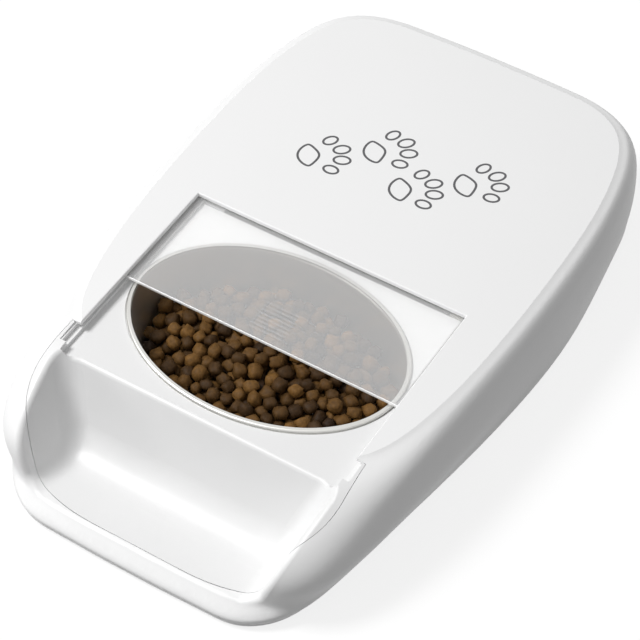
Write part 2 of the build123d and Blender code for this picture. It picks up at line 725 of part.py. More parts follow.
with BuildPart() as base_pan:
    add(inside_form)
    block((-body_rear, body_rear), (-body_rear, body_rear), (underside, pan_top), mode=Mode.INTERSECT)
    upright(all_cups, cup_radius, (underside, cup_top))
    block((-bay_half - bay_wall, bay_half + bay_wall), (bay_front - bay_wall, bay_rear + bay_wall),
          (underside, bay_roof + bay_wall / 2))
    upright(board_post_places, post_radius, (underside, board_z))
    upright(bracket_screw_places, post_radius, (underside, pan_top))
    block((-bay_half, bay_half), (bay_front, bay_rear), (0, bay_roof), mode=Mode.SUBTRACT)
    block((-bay_half - door_ledge, bay_half + door_ledge), (bay_front - door_ledge, bay_rear + door_ledge),
          (0, underside + door_thick + part_gap / 2), mode=Mode.SUBTRACT)
    upright(all_cups, cup_bore, (0, cup_seat), mode=Mode.SUBTRACT)
    upright(all_cups, screw_pass, (0, cup_top + boolean_over), mode=Mode.SUBTRACT)
    upright(foot_places, foot_radius, (0, underside + foot_sink), mode=Mode.SUBTRACT)
    upright(board_post_places, screw_hole, (board_z - small_screw_long, body_top), mode=Mode.SUBTRACT)
    upright(bracket_screw_places, screw_hole, (foot_top - small_screw_long, body_top), mode=Mode.SUBTRACT)
base_pan.part.label = "base_pan"

with BuildPart() as battery_door:
    door_half = bay_half + door_ledge - door_gap
    block((-door_half, door_half), (bay_front - door_ledge + door_gap, bay_rear + door_ledge - door_gap),
          (underside, underside + door_thick))
    fillet(battery_door.edges().filter_by(Axis.Z), door_corner)
    with BuildSketch(Plane.XY.offset(underside)):
        with Locations((0, bay_rear - finger_slot_in)):
            SlotOverall(finger_slot_long, finger_slot_wide)
    extrude(amount=door_thick / 2, mode=Mode.SUBTRACT)
battery_door.part.label = "battery_door"

with BuildPart() as rubber_feet:
    upright(foot_places, foot_radius - foot_fit, (0, foot_tall))
    fillet(rubber_feet.edges().group_by(Axis.Z)[0], foot_round)
rubber_feet.part.label = "rubber_feet"

with BuildPart() as case_screws:
    screws_up(case_screw_places, cup_seat - screw_head_tall, case_screw_long)
case_screws.part.label = "case_screws"

with BuildPart() as tray_screws:
    screws_up(tray_screw_places, cup_seat - screw_head_tall, case_screw_long)
tray_screws.part.label = "tray_screws"

# ---------------------------------------------------------------- batteries
cell_radius = 12.8
cell_long = 47.5
cell_nub = 1.5
cell_nub_radius = 3.3
cell_x = 13.6
cell_gap = 0.2
cell_lift = 0.4              # cells lie this far above the door
cell_z = underside + door_thick + cell_lift + cell_radius
contact_thick = 0.5
contact_boss = 4.0           # radius of the boss that meets a cell
spring_turns = 3
spring_slack = 0.02
spring_wire = 0.4
spring_radius = 5.0
cell_pair = 2 * (cell_long + cell_nub) + cell_gap
cell_front = bay_front + (bay_rear - bay_front - cell_pair) / 2

with BuildPart() as battery_cells:
    for side in (-1, 1):
        for index in range(2):
            low = cell_front + index * (cell_long + cell_nub + cell_gap)
            body_low = low + (cell_nub if side > 0 else 0)
            endwise([(side * cell_x, cell_z)], cell_radius, (body_low, body_low + cell_long))
            nub_low = low if side > 0 else body_low + cell_long
            endwise([(side * cell_x, cell_z)], cell_nub_radius, (nub_low, nub_low + cell_nub))
battery_cells.part.label = "battery_cells"

with BuildPart() as battery_contacts:
    for end, inward in ((bay_front, 1), (bay_rear, -1)):
        block((-cell_x - cell_radius / 2, cell_x + cell_radius / 2), sorted((end, end + inward * contact_thick)),
              (cell_z - cell_radius / 2, cell_z + cell_radius / 2))
        side = inward
        touch = cell_front if inward > 0 else cell_front + cell_pair
        endwise([(side * cell_x, cell_z)], contact_boss, sorted((end, touch)))
battery_contacts.part.label = "battery_contacts"

spring_pitch = (cell_front - bay_front - contact_thick - 2 * spring_wire) / spring_turns - spring_slack
with BuildPart() as battery_springs:
    for y, side in ((bay_front + contact_thick, -1), (bay_rear - contact_thick, 1)):
        centre = (side * cell_x, y - side * spring_wire, cell_z)
        with BuildLine() as coil:
            Helix(spring_pitch, spring_turns * spring_pitch, spring_radius, center=centre, direction=(0, -side, 0))
        with BuildSketch(Plane(origin=coil.line @ 0, z_dir=coil.line % 0)):
            Circle(spring_wire)
        sweep(path=coil.line)
battery_springs.part.label = "battery_springs"

# -------------------------------------------------------------- electronics
board_top = board_z + board_thick
# Bodies on the main board: middle from its left and front edges, width, depth, height
chip_bodies = [(21.0, 25.0, 10.0, 10.0, 1.2), (13.0, 40.0, 6.0, 4.0, 1.4),
               (33.0, 36.5, 6.0, 5.0, 1.4), (35.0, 14.0, 6.0, 4.0, 3.4)]
plug_size = 6.0
plug_edge = 1.0              # plugs stand in from the board's right edge
plug_starts = (16.0, 28.0, 40.0)
capacitor_radius = 4.0
capacitor_tall = 10.0
capacitor_places = [(board_left + x, board_front + y) for x, y in ((22.0, 48.0), (10.0, 50.0))]
buzzer_radius = 6.0
buzzer_tall = 7.0
buzzer_port = 1.0            # radius of the sound hole
buzzer_port_deep = 2.0
buzzer_places = [(board_left + 9.5, board_front + 18.0)]
button_round = 0.8
led_radius = 1.5
led_long = 4.0
led_gap = 0.5                # air between the lamp and the lens
lens_flange = 1.0
lens_play = 0.2

with BuildPart() as circuit_board:
    block((board_left, board_right), (board_front, board_rear), (board_z, board_top))
    upright(board_post_places, screw_pass, (0, body_top), mode=Mode.SUBTRACT)
circuit_board.part.label = "circuit_board"

with BuildPart() as board_screws:
    upright(board_post_places, screw_head, (board_top, board_top + screw_head_tall))
    upright(board_post_places, screw_core, (board_top - small_screw_long, board_top))
board_screws.part.label = "board_screws"

with BuildPart() as board_chips:
    for x, y, wide, deep, tall in chip_bodies:
        middle = (board_left + x, board_front + y)
        block((middle[0] - wide / 2, middle[0] + wide / 2), (middle[1] - deep / 2, middle[1] + deep / 2),
              (board_top, board_top + tall))
board_chips.part.label = "board_chips"

with BuildPart() as board_plugs:
    for start in plug_starts:
        low = board_front + start
        block((board_right - plug_edge - plug_size, board_right - plug_edge), (low, low + plug_size),
              (board_top, board_top + plug_size))
board_plugs.part.label = "board_plugs"

with BuildPart() as board_capacitors:
    upright(capacitor_places, capacitor_radius, (board_top, board_top + capacitor_tall))
board_capacitors.part.label = "board_capacitors"

with BuildPart() as buzzer:
    upright(buzzer_places, buzzer_radius, (board_top, board_top + buzzer_tall))
    upright(buzzer_places, buzzer_port, (board_top + buzzer_tall - buzzer_port_deep,
                                         board_top + buzzer_tall + boolean_over), mode=Mode.SUBTRACT)
buzzer.part.label = "buzzer"

with BuildPart() as button_board:
    block((lens_x - panel_half, lens_x + panel_half), (panel_front, panel_rear), (panel_low, panel_high))
    endwise(panel_posts, screw_pass, (0, body_rear), mode=Mode.SUBTRACT)
button_board.part.label = "button_board"

with BuildPart() as button_board_screws:
    endwise(panel_posts, screw_head, (panel_front - screw_head_tall, panel_front))
    endwise(panel_posts, screw_core, (panel_front, panel_front + small_screw_long))
button_board_screws.part.label = "button_board_screws"

with BuildPart() as tact_switches:
    for x, z in button_places:
        block((x - tact_half, x + tact_half), (panel_rear, tact_face), (z - tact_half, z + tact_half))
tact_switches.part.label = "tact_switches"


def push_button(x):
    """Round button with the flange that keeps it in the wall and a stem for its switch."""
    with BuildPart() as button:
        endwise([(x, button_z)], button_radius, (button_foot, body_rear))
        fillet(button.edges().group_by(Axis.Y)[-1], button_round)
        endwise([(x, button_z)], button_flange, (button_foot, button_seat))
    return button.part


with BuildPart() as learn_button:
    add(push_button(button_x[0]))
learn_button.part.label = "learn_button"

with BuildPart() as lid_button:
    add(push_button(button_x[1]))
lid_button.part.label = "lid_button"

with BuildPart() as status_led:
    endwise([(lens_x, lens_z)], led_radius, (panel_rear, panel_rear + led_long))
status_led.part.label = "status_led"

with BuildPart() as status_lens:
    lens_foot = panel_rear + led_long + led_gap
    endwise([(lens_x, lens_z)], lens_radius, (lens_foot, body_rear))
    endwise([(lens_x, lens_z)], lens_radius + lens_flange, (lens_foot, rear_inside - lens_play))
status_lens.part.label = "status_lens"

coil_half = 58.0
coil_front = -171.0
coil_rear = -122.0
coil_wide = 6.0
coil_low = tray_foot
coil_high = 6.6
with BuildPart() as antenna_coil:
    with BuildSketch(Plane.XY.offset(coil_low)):
        with Locations((0, (coil_front + coil_rear) / 2)):
            RectangleRounded(2 * coil_half, coil_rear - coil_front, 3 * coil_wide / 2)
            RectangleRounded(2 * (coil_half - coil_wide), coil_rear - coil_front - 2 * coil_wide, coil_wide / 2,
                             mode=Mode.SUBTRACT)
    extrude(amount=coil_high - coil_low)
antenna_coil.part.label = "antenna_coil"

# ------------------------------------------------------------------- export
pieces = [
    outer_casing, inner_tray, base_pan, lid_guide_left, lid_guide_right, sliding_lid, lid_rack, lid_runner,
    lid_magnet, lid_sensor_front, lid_sensor_rear, rack_pinion, reduction_gear, motor_pinion, motor_shaft,
    drive_bracket, gear_pins, retaining_clips, gearbox_case, motor_can, motor_end_cap, motor_screws,
    bracket_screws, food_bowl, battery_door, rubber_feet, case_screws, tray_screws, battery_cells,
    battery_contacts, battery_springs, circuit_board, board_screws, board_chips, board_plugs,
    board_capacitors, buzzer, button_board, button_board_screws, tact_switches, learn_button, lid_button,
    status_led, status_lens, antenna_coil,
]
for piece in pieces:
    export_step(piece.part, f"parts/{piece.part.label}.step")
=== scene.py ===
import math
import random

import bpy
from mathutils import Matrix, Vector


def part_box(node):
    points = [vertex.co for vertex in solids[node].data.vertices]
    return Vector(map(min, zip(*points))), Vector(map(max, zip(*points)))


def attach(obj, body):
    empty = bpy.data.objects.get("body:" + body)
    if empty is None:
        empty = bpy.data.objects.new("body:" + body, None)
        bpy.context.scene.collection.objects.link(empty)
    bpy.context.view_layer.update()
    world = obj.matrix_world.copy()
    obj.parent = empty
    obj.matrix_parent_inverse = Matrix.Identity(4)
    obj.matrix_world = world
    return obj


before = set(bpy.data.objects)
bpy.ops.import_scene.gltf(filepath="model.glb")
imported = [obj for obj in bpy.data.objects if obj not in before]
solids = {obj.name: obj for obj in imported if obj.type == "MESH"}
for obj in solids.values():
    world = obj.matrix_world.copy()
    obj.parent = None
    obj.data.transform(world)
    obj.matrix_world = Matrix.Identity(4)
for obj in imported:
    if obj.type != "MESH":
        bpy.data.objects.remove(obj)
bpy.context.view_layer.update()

# %% [markdown]
# # A pet feeder with a sliding lid
# The feeder arrives as a finished assembly of solids, each already lying where
# it belongs, in metres. This lesson gives every solid its surface, prints a
# small drawing on the roof, fills the bowl with food, and lights the result.

MM = 0.001

# %% [markdown]
# ## Camera
# The feeder is seen from above its front right corner. A long lens from more
# than a metre away keeps its long sides nearly parallel, so the proportions
# read as they are.

# %% Aim the camera
view_turn = math.radians(31.9)
view_rise = math.radians(49.2)
look_at = Vector((17.43, -34.7, 55.0)) * MM
camera_reach = 1203.5 * MM
sensor_width_mm = 36.0
lens_mm = 130.5
nearest_seen = 50 * MM
to_camera = Vector((
    math.sin(view_turn) * math.cos(view_rise),
    -math.cos(view_turn) * math.cos(view_rise),
    math.sin(view_rise),
))
bpy.ops.object.camera_add(location=look_at + to_camera * camera_reach)
camera = bpy.context.object
camera.rotation_euler = to_camera.to_track_quat("Z", "Y").to_euler()
camera.data.sensor_width = sensor_width_mm
camera.data.lens = lens_mm
camera.data.clip_start = nearest_seen
bpy.context.scene.camera = camera
bpy.context.scene.view_settings.view_transform = "Standard"
print("camera at", [round(value, 3) for value in camera.location])

# %% [markdown]
# ## Light
# White plastic shows its shape only by its shading, so the light has to come
# from one side. A sun would give hard shadows. One broad soft lamp hangs high
# on the left instead, a little in front of the feeder, and a weak one stands
# low on the same side and opens up the front lip. The sky is dim and even, so
# the right flank and the hollows stay a clear grey, and the levels are set so
# that a white of 0.87 on the roof renders as 0.87.

# %% Lamps
key_place = (-1.10, -0.66, 2.00)
key_size = 0.7
key_watts = 42
low_place = (-1.80, -1.30, 0.14)
low_size = 0.5
low_watts = 7


def soft_lamp(name, place, size, watts):
    """A square area lamp that faces the feeder."""
    bpy.ops.object.light_add(type="AREA", location=place)
    lamp = bpy.context.object
    lamp.name = name
    lamp.data.size = size
    lamp.data.energy = watts
    lamp.rotation_euler = (Vector(place) - look_at).to_track_quat("Z", "Y").to_euler()
    print(name, "at", place, "with", watts, "W")


soft_lamp("key_lamp", key_place, key_size, key_watts)
soft_lamp("low_lamp", low_place, low_size, low_watts)

# %% [markdown]
# ## Materials begin empty
# Each finish is a Principled shader with its constants typed on its own
# sockets. Only what varies over a surface comes in by a link. A few effects
# that several finishes share are node groups, made once.

# %% A short way to write node trees
def add_node(tree, kind, **settings):
    """One shader node, with its settings."""
    item = tree.nodes.new("ShaderNode" + kind)
    for name, value in settings.items():
        setattr(item, name, value)
    return item


def empty_material(name):
    """A material with nothing but its output."""
    material = bpy.data.materials.new(name)
    material.use_nodes = True
    material.node_tree.nodes.clear()
    output = add_node(material.node_tree, "OutputMaterial")
    return material, material.node_tree, output


def principled_material(name):
    """A material that is one Principled shader so far."""
    material, tree, output = empty_material(name)
    shader = add_node(tree, "BsdfPrincipled")
    tree.links.new(shader.outputs[0], output.inputs["Surface"])
    return material, tree, shader


def math_node(tree, operation, first, second=0.0):
    """A Math node whose inputs are links or plain numbers."""
    item = add_node(tree, "Math", operation=operation)
    for socket, value in zip(item.inputs, (first, second)):
        if isinstance(value, (int, float)):
            socket.default_value = value
        else:
            tree.links.new(value, socket)
    return item.outputs[0]


def split_place(tree, place):
    """The X, Y and Z of a place, each as an output of its own."""
    item = add_node(tree, "SeparateXYZ")
    tree.links.new(place, item.inputs[0])
    return item.outputs


# %% A short way to write node groups
def new_group(name, numbers, results):
    """A node group with named number inputs and named outputs."""
    group = bpy.data.node_groups.new(name, "ShaderNodeTree")
    for label, value in numbers.items():
        socket = group.interface.new_socket(label, in_out="INPUT", socket_type="NodeSocketFloat")
        socket.default_value = value
    for label in results:
        group.interface.new_socket(label, in_out="OUTPUT", socket_type="NodeSocketFloat")
    given = group.nodes.new("NodeGroupInput")
    wanted = group.nodes.new("NodeGroupOutput")
    return group, given, wanted


def place_group(tree, group, **numbers):
    """A node that uses a group, with its own numbers."""
    item = add_node(tree, "Group", node_tree=group)
    for label, value in numbers.items():
        item.inputs[label].default_value = value
    return item


# %% [markdown]
# ## The skin of a moulded part
# Plastic takes the texture of its steel mould: a grain of fine pits, the same
# everywhere. Handling and cooling add broad, faint changes of gloss. Pits this
# small are far too many to model, so they are noise that only bends the light.
# The group gives both, the grain as a height and the broad change as a mask.

# %% Group: moulded skin
skin_numbers = {"Grain Size": 2200.0, "Patch Size": 14.0}


def make_moulded_skin():
    """Noise at two scales, on the piece's own coordinates."""
    group, given, wanted = new_group("moulded_skin", skin_numbers, ("Height", "Patches"))
    place = add_node(group, "TexCoord")
    grain = add_node(group, "TexNoise")
    grain.inputs["Detail"].default_value = 3.0
    grain.inputs["Roughness"].default_value = 0.6
    patch = add_node(group, "TexNoise")
    patch.inputs["Detail"].default_value = 2.0
    for noise, label in ((grain, "Grain Size"), (patch, "Patch Size")):
        group.links.new(place.outputs["Object"], noise.inputs["Vector"])
        group.links.new(given.outputs[label], noise.inputs["Scale"])
    group.links.new(grain.outputs["Fac"], wanted.inputs["Height"])
    group.links.new(patch.outputs["Fac"], wanted.inputs["Patches"])
    return group


moulded_skin = make_moulded_skin()
print("group:", moulded_skin.name, "with", len(moulded_skin.nodes), "nodes")

# %% [markdown]
# ## Fine lines left by tools
# Turned pins, wound wire and rolled sheet carry fine lines that run one way.
# A wave texture would repeat too evenly. Noise that is stretched along one axis
# gives lines of uneven strength.

# %% Group: tool lines
line_numbers = {"Along X": 60.0, "Along Y": 3000.0, "Along Z": 3000.0}


def make_tool_lines():
    """Noise that is coarse along one axis and fine along the others."""
    group, given, wanted = new_group("tool_lines", line_numbers, ("Height",))
    place = add_node(group, "TexCoord")
    stretch = add_node(group, "CombineXYZ")
    for axis in "XYZ":
        group.links.new(given.outputs["Along " + axis], stretch.inputs[axis])
    scaled = add_node(group, "VectorMath", operation="MULTIPLY")
    group.links.new(place.outputs["Object"], scaled.inputs[0])
    group.links.new(stretch.outputs[0], scaled.inputs[1])
    noise = add_node(group, "TexNoise")
    noise.inputs["Scale"].default_value = 1.0
    noise.inputs["Detail"].default_value = 2.0
    group.links.new(scaled.outputs[0], noise.inputs["Vector"])
    group.links.new(noise.outputs["Fac"], wanted.inputs["Height"])
    return group


tool_lines = make_tool_lines()
print("group:", tool_lines.name, "with", len(tool_lines.nodes), "nodes")

# %% [markdown]
# ## Plastic and metal
# Nearly every solid is moulded plastic or bare metal. One function makes each
# kind from a tone, a range of gloss, a grain and its depth, so that a finish is
# one line further on. The tone dips a little where the broad patches are.

# %% Small helpers for a finish
def spread(tree, value, low, high):
    """A mask from 0 to 1 turned into a number from low to high."""
    item = add_node(tree, "MapRange")
    item.inputs["To Min"].default_value = low
    item.inputs["To Max"].default_value = high
    tree.links.new(value, item.inputs["Value"])
    return item.outputs["Result"]


def two_tones(tree, mask, first, second):
    """A colour that goes from one tone to another with a mask."""
    item = add_node(tree, "Mix", data_type="RGBA")
    item.inputs["A"].default_value = (*first, 1)
    item.inputs["B"].default_value = (*second, 1)
    tree.links.new(mask, item.inputs["Factor"])
    return item.outputs["Result"]


def raise_bump(tree, shader, height, depth):
    """Surface relief from a height between 0 and 1, that deep in metres."""
    bump = add_node(tree, "Bump")
    bump.inputs["Strength"].default_value = 1.0
    bump.inputs["Distance"].default_value = depth
    tree.links.new(height, bump.inputs["Height"])
    tree.links.new(bump.outputs["Normal"], shader.inputs["Normal"])


def finish_solids(material, *names):
    """Puts a material in the slots of solids."""
    for name in names:
        for slot in solids[name].material_slots:
            slot.material = material
    print(material.name, "on", ", ".join(names))


# %% Moulded plastic
def moulded_plastic(name, tone, gloss=(0.36, 0.44), grain=2200.0, depth=0.012 * MM, contrast=0.015):
    """Moulded plastic: even colour, fine grain, faint changes of gloss."""
    material, tree, shader = principled_material(name)
    skin = place_group(tree, moulded_skin, **{"Grain Size": grain})
    darker = tuple(value * (1 - contrast) for value in tone)
    tree.links.new(two_tones(tree, skin.outputs["Patches"], darker, tone), shader.inputs["Base Color"])
    tree.links.new(spread(tree, skin.outputs["Patches"], *gloss), shader.inputs["Roughness"])
    raise_bump(tree, shader, skin.outputs["Height"], depth)
    return material


# %% Worked metal
metal_depth = 0.004 * MM
metal_patches = 60.0
metal_dulling = 0.93


def worked_metal(name, tone, gloss=(0.22, 0.36), lines=(60.0, 3000.0, 3000.0)):
    """Bare metal with tool lines and faint dull patches."""
    material, tree, shader = principled_material(name)
    shader.inputs["Metallic"].default_value = 1.0
    marks = place_group(tree, tool_lines, **{"Along " + axis: value for axis, value in zip("XYZ", lines)})
    skin = place_group(tree, moulded_skin, **{"Patch Size": metal_patches})
    duller = tuple(value * metal_dulling for value in tone)
    tree.links.new(two_tones(tree, skin.outputs["Patches"], duller, tone), shader.inputs["Base Color"])
    tree.links.new(spread(tree, marks.outputs["Height"], *gloss), shader.inputs["Roughness"])
    raise_bump(tree, shader, marks.outputs["Height"], metal_depth)
    return material


# %% [markdown]
# ## White shells
# Casing and tray are white plastic, the tray a shade greyer. The running strips
# beside the lid are a smoother white, and the pan below is a plain pale grey
# with a coarser grain, as the underside of a moulding is often left.

# %% Finish the shells
finish_solids(moulded_plastic("shell_white", (0.87, 0.87, 0.87)), "outer_casing")
finish_solids(moulded_plastic("tray_white", (0.81, 0.81, 0.81), gloss=(0.34, 0.42)), "inner_tray")
strip_white = moulded_plastic("strip_white", (0.86, 0.86, 0.86), gloss=(0.26, 0.32), depth=0.004 * MM)
finish_solids(strip_white, "lid_guide_left", "lid_guide_right")
pan_grey = moulded_plastic(
    "pan_grey", (0.62, 0.62, 0.62), gloss=(0.5, 0.6), grain=1400.0, depth=0.03 * MM, contrast=0.04)
finish_solids(pan_grey, "base_pan", "battery_door")

# %% [markdown]
# ## The frosted lid
# The lid is a thin milky sheet. Glass with a rough surface would smear the food
# under it into an even brown. On the real lid more than half of what lies
# behind shows through, and the rest is white haze, so each face is part open
# and part white.
# Milky plastic throws most light onward, so the faces are more open to shadow
# rays, and the food under the lid stays lit. Its cut front edge gathers the
# light that runs along the sheet and shows as a bright line. That line is a
# painted highlight: a thin strip along the front edge is nearly opaque white.

# %% Finish the lid
lid_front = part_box("sliding_lid")[0].y
# Width and opacity of the painted highlight, a white strip along the lid's front edge.
painted_edge_width = 0.5 * MM
painted_highlight_opacity = 0.85
face_haze = 0.24
shadow_haze = 0.03
sheet_white = (0.99, 0.99, 0.99, 1)
acrylic_ior = 1.49
smooth_depth = 0.003 * MM


def frosted_sheet():
    """A hazy clear sheet with a painted highlight: a nearly opaque white strip along its front edge."""
    material, tree, shader = principled_material("frosted_sheet")
    shader.inputs["Base Color"].default_value = sheet_white
    shader.inputs["IOR"].default_value = acrylic_ior
    rays = add_node(tree, "LightPath")
    haze = spread(tree, rays.outputs["Is Shadow Ray"], face_haze, shadow_haze)
    place = add_node(tree, "TexCoord")
    along = split_place(tree, place.outputs["Object"])["Y"]
    # Painted highlight: near the front edge the sheet turns nearly opaque white.
    in_painted_highlight = math_node(tree, "LESS_THAN", along, lid_front + painted_edge_width)
    painted_highlight = math_node(tree, "MULTIPLY", in_painted_highlight, painted_highlight_opacity)
    tree.links.new(math_node(tree, "MAXIMUM", haze, painted_highlight), shader.inputs["Alpha"])
    skin = place_group(tree, moulded_skin, **{"Grain Size": 3000.0, "Patch Size": 25.0})
    tree.links.new(spread(tree, skin.outputs["Patches"], 0.16, 0.20), shader.inputs["Roughness"])
    raise_bump(tree, shader, skin.outputs["Height"], smooth_depth)
    return material


finish_solids(frosted_sheet(), "sliding_lid")

# %% [markdown]
# ## The steel bowl
# The bowl is deep-drawn stainless steel with a satin inside. Its drawing marks
# run round it. The shared tool lines run straight, so the bowl has its own: the
# noise reads how far a point is from the bowl's middle, measured in half widths
# so that round becomes oval, and how high it is, but not where it is round the
# bowl.

# %% Finish the bowl
bowl_low, bowl_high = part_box("food_bowl")
bowl_middle = (bowl_low + bowl_high) / 2
bowl_half = (bowl_high - bowl_low) / 2
rings_outward = 130.0
rings_upward = 2600.0
steel_dark = (0.60, 0.595, 0.57)
steel_light = (0.68, 0.675, 0.65)
satin_depth = 0.0012 * MM


def ring_lines(tree):
    """Noise that changes outward from the bowl's middle and up its wall, but not round it."""
    place = add_node(tree, "TexCoord")
    centred = add_node(tree, "Mapping")
    centred.inputs["Location"].default_value = (
        -bowl_middle.x / bowl_half.x, -bowl_middle.y / bowl_half.y, 0)
    centred.inputs["Scale"].default_value = (1 / bowl_half.x, 1 / bowl_half.y, 1)
    tree.links.new(place.outputs["Object"], centred.inputs["Vector"])
    spot = split_place(tree, centred.outputs[0])
    across = math_node(tree, "MULTIPLY", spot["X"], spot["X"])
    along = math_node(tree, "MULTIPLY", spot["Y"], spot["Y"])
    ring = math_node(tree, "SQRT", math_node(tree, "ADD", across, along))
    rounds = add_node(tree, "CombineXYZ")
    tree.links.new(math_node(tree, "MULTIPLY", ring, rings_outward), rounds.inputs["X"])
    tree.links.new(math_node(tree, "MULTIPLY", spot["Z"], rings_upward), rounds.inputs["Z"])
    lines = add_node(tree, "TexNoise")
    lines.inputs["Scale"].default_value = 1.0
    lines.inputs["Detail"].default_value = 2.0
    tree.links.new(rounds.outputs[0], lines.inputs["Vector"])
    return lines.outputs["Fac"]


def drawn_steel():
    """Satin steel with marks that run round the bowl."""
    material, tree, shader = principled_material("drawn_steel")
    shader.inputs["Metallic"].default_value = 1.0
    lines = ring_lines(tree)
    skin = place_group(tree, moulded_skin, **{"Patch Size": 40.0})
    tone = two_tones(tree, skin.outputs["Patches"], steel_dark, steel_light)
    tree.links.new(tone, shader.inputs["Base Color"])
    tree.links.new(spread(tree, lines, 0.30, 0.42), shader.inputs["Roughness"])
    raise_bump(tree, shader, lines, satin_depth)
    return material


finish_solids(drawn_steel(), "food_bowl")

# %% [markdown]
# ## The works inside
# Under the shells there are steel fasteners and plates, natural acetal gears,
# green boards, black chips, wrapped cells and a copper coil. Hardly any of them
# shows when the feeder is closed, but someone who takes it apart should find
# each in its own stuff, so each has a finish from the two functions above.

# %% Finish the metal works
finish_solids(
    worked_metal("bright_steel", (0.62, 0.62, 0.61)),
    "motor_shaft", "drive_bracket", "gear_pins", "retaining_clips", "motor_can", "motor_screws",
    "bracket_screws", "case_screws", "tray_screws", "board_screws", "button_board_screws",
    "battery_springs", "battery_contacts")
finish_solids(worked_metal("plated_magnet", (0.66, 0.66, 0.68), gloss=(0.08, 0.16)), "lid_magnet")
cast_alloy = worked_metal("cast_alloy", (0.55, 0.55, 0.55), gloss=(0.4, 0.55), lines=(900.0, 900.0, 900.0))
finish_solids(cast_alloy, "gearbox_case")
wound_copper = worked_metal(
    "wound_copper", (0.70, 0.34, 0.17), gloss=(0.25, 0.4), lines=(2600.0, 60.0, 2600.0))
finish_solids(wound_copper, "antenna_coil")

# %% Finish the plastic works
acetal = moulded_plastic("acetal", (0.86, 0.84, 0.77), gloss=(0.3, 0.38), depth=0.006 * MM)
finish_solids(acetal, "rack_pinion", "reduction_gear", "motor_pinion", "board_plugs")
finish_solids(moulded_plastic("rack_grey", (0.5, 0.5, 0.5), gloss=(0.3, 0.4)), "lid_rack", "lid_runner")
finish_solids(moulded_plastic("cap_white", (0.78, 0.78, 0.75)), "motor_end_cap")
finish_solids(moulded_plastic("key_grey", (0.5, 0.5, 0.5), gloss=(0.42, 0.5)), "learn_button", "lid_button")
finish_solids(
    moulded_plastic("part_black", (0.03, 0.03, 0.032), gloss=(0.45, 0.6), contrast=0.2),
    "lid_sensor_front", "lid_sensor_rear", "board_chips", "buzzer", "tact_switches",
    "board_capacitors")

# %% Finish the rubber feet and the boards
foot_rubber = moulded_plastic(
    "foot_rubber", (0.035, 0.035, 0.036), gloss=(0.75, 0.9), grain=900.0, depth=0.05 * MM,
    contrast=0.3)
finish_solids(foot_rubber, "rubber_feet")
board_green = moulded_plastic(
    "board_green", (0.018, 0.105, 0.045), gloss=(0.22, 0.34), grain=700.0, depth=0.02 * MM,
    contrast=0.5)
finish_solids(board_green, "circuit_board", "button_board")

# %% [markdown]
# ## Cells
# The four cells lie in two rows of two, end to end. Each wears a printed sleeve,
# black with a band of gold at one end. The four share one material, so the band
# can't be an object of its own without cutting the cells. It is worked out from
# the place instead: a cell's length goes twice into the length of a row, what
# is left after dividing by it is the share of the way along a cell, and the
# band is where that share is small.

# %% Finish the cells
cell_low, cell_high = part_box("battery_cells")
cell_long = (cell_high.y - cell_low.y) / 2
band_share = 0.24
sleeve_black = (0.03, 0.03, 0.035)
sleeve_gold = (0.55, 0.33, 0.10)


def cell_wrap():
    """A printed sleeve: one band of gold at the same end of every cell, the rest black."""
    material, tree, shader = principled_material("cell_wrap")
    place = add_node(tree, "TexCoord")
    from_end = math_node(
        tree, "SUBTRACT", split_place(tree, place.outputs["Object"])["Y"], cell_low.y)
    along = math_node(tree, "FRACT", math_node(tree, "DIVIDE", from_end, cell_long))
    band = math_node(tree, "LESS_THAN", along, band_share)
    tree.links.new(two_tones(tree, band, sleeve_black, sleeve_gold), shader.inputs["Base Color"])
    skin = place_group(tree, moulded_skin, **{"Patch Size": 50.0})
    tree.links.new(spread(tree, skin.outputs["Patches"], 0.16, 0.28), shader.inputs["Roughness"])
    raise_bump(tree, shader, skin.outputs["Height"], 0.01 * MM)
    return material


finish_solids(cell_wrap(), "battery_cells")

# %% [markdown]
# ## Clear pieces
# The status lamp and the lens before it are clear plastic. Pure glass would look
# empty at this size, so they are part glass and part tinted body.

# %% Finish the lens and the lamp
def clear_plastic(name, tone, clearness, gloss):
    """Clear moulded plastic with faint changes of gloss."""
    material, tree, shader = principled_material(name)
    shader.inputs["Base Color"].default_value = (*tone, 1)
    shader.inputs["Transmission Weight"].default_value = clearness
    shader.inputs["IOR"].default_value = acrylic_ior
    skin = place_group(tree, moulded_skin, **{"Patch Size": 200.0})
    tree.links.new(spread(tree, skin.outputs["Patches"], *gloss), shader.inputs["Roughness"])
    raise_bump(tree, shader, skin.outputs["Height"], smooth_depth)
    return material


finish_solids(clear_plastic("lens_clear", (0.9, 0.92, 0.95), 0.7, (0.12, 0.2)), "status_lens")
finish_solids(clear_plastic("lamp_green", (0.35, 0.85, 0.4), 0.5, (0.2, 0.3)), "status_led")
print("solids with a finish:", sum(1 for item in solids.values() if item.material_slots))

# %% [markdown]
# ## Floor and sky
# A white page behind the feeder must not throw extra light on it. So floor and
# sky are bright only for rays that look at them straight, in a reflection or
# through clear plastic, and stay dim for the light that they give.

# %% Pale floor that only darkens where the feeder shades it
floor_side = 8
floor_tone = (0.22, 0.22, 0.22, 1)
floor_glow = 0.81
pure_white = (1, 1, 1, 1)


def direct_view(tree):
    """1 for rays from the camera, from a mirror reflection or through clear plastic, else 0."""
    rays = add_node(tree, "LightPath")
    seen = math_node(tree, "MAXIMUM", rays.outputs["Is Camera Ray"], rays.outputs["Is Glossy Ray"])
    return math_node(tree, "MAXIMUM", seen, rays.outputs["Is Transmission Ray"])


